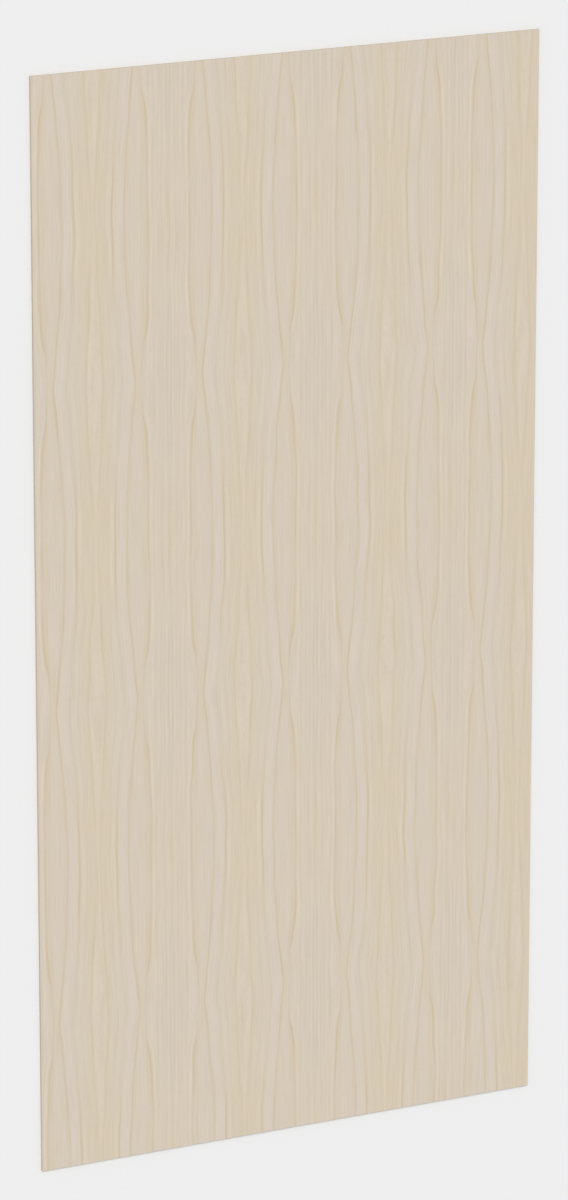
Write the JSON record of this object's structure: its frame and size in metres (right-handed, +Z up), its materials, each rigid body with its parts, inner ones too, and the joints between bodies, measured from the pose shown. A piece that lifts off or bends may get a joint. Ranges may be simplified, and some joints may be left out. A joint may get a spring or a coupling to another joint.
{
  "type": "plywood sheet",
  "caption": "Thin flat rectangular sheet of hardwood plywood with a pale book-matched veneer face, used for cabinet backs, drawer bottoms, wall lining and panels.",
  "frame": {"origin": "middle of the back face, which lies on the floor", "axes": "+X across the sheet, +Y along its length and face grain, +Z up out of the face veneer"},
  "size_m": [1.2192, 2.4384, 0.0063],
  "materials": {
    "veneered_plywood": "matte"
  },
  "bodies": {
    "root": {"plywood_sheet": "veneered_plywood"}
  },
  "joints": []
}
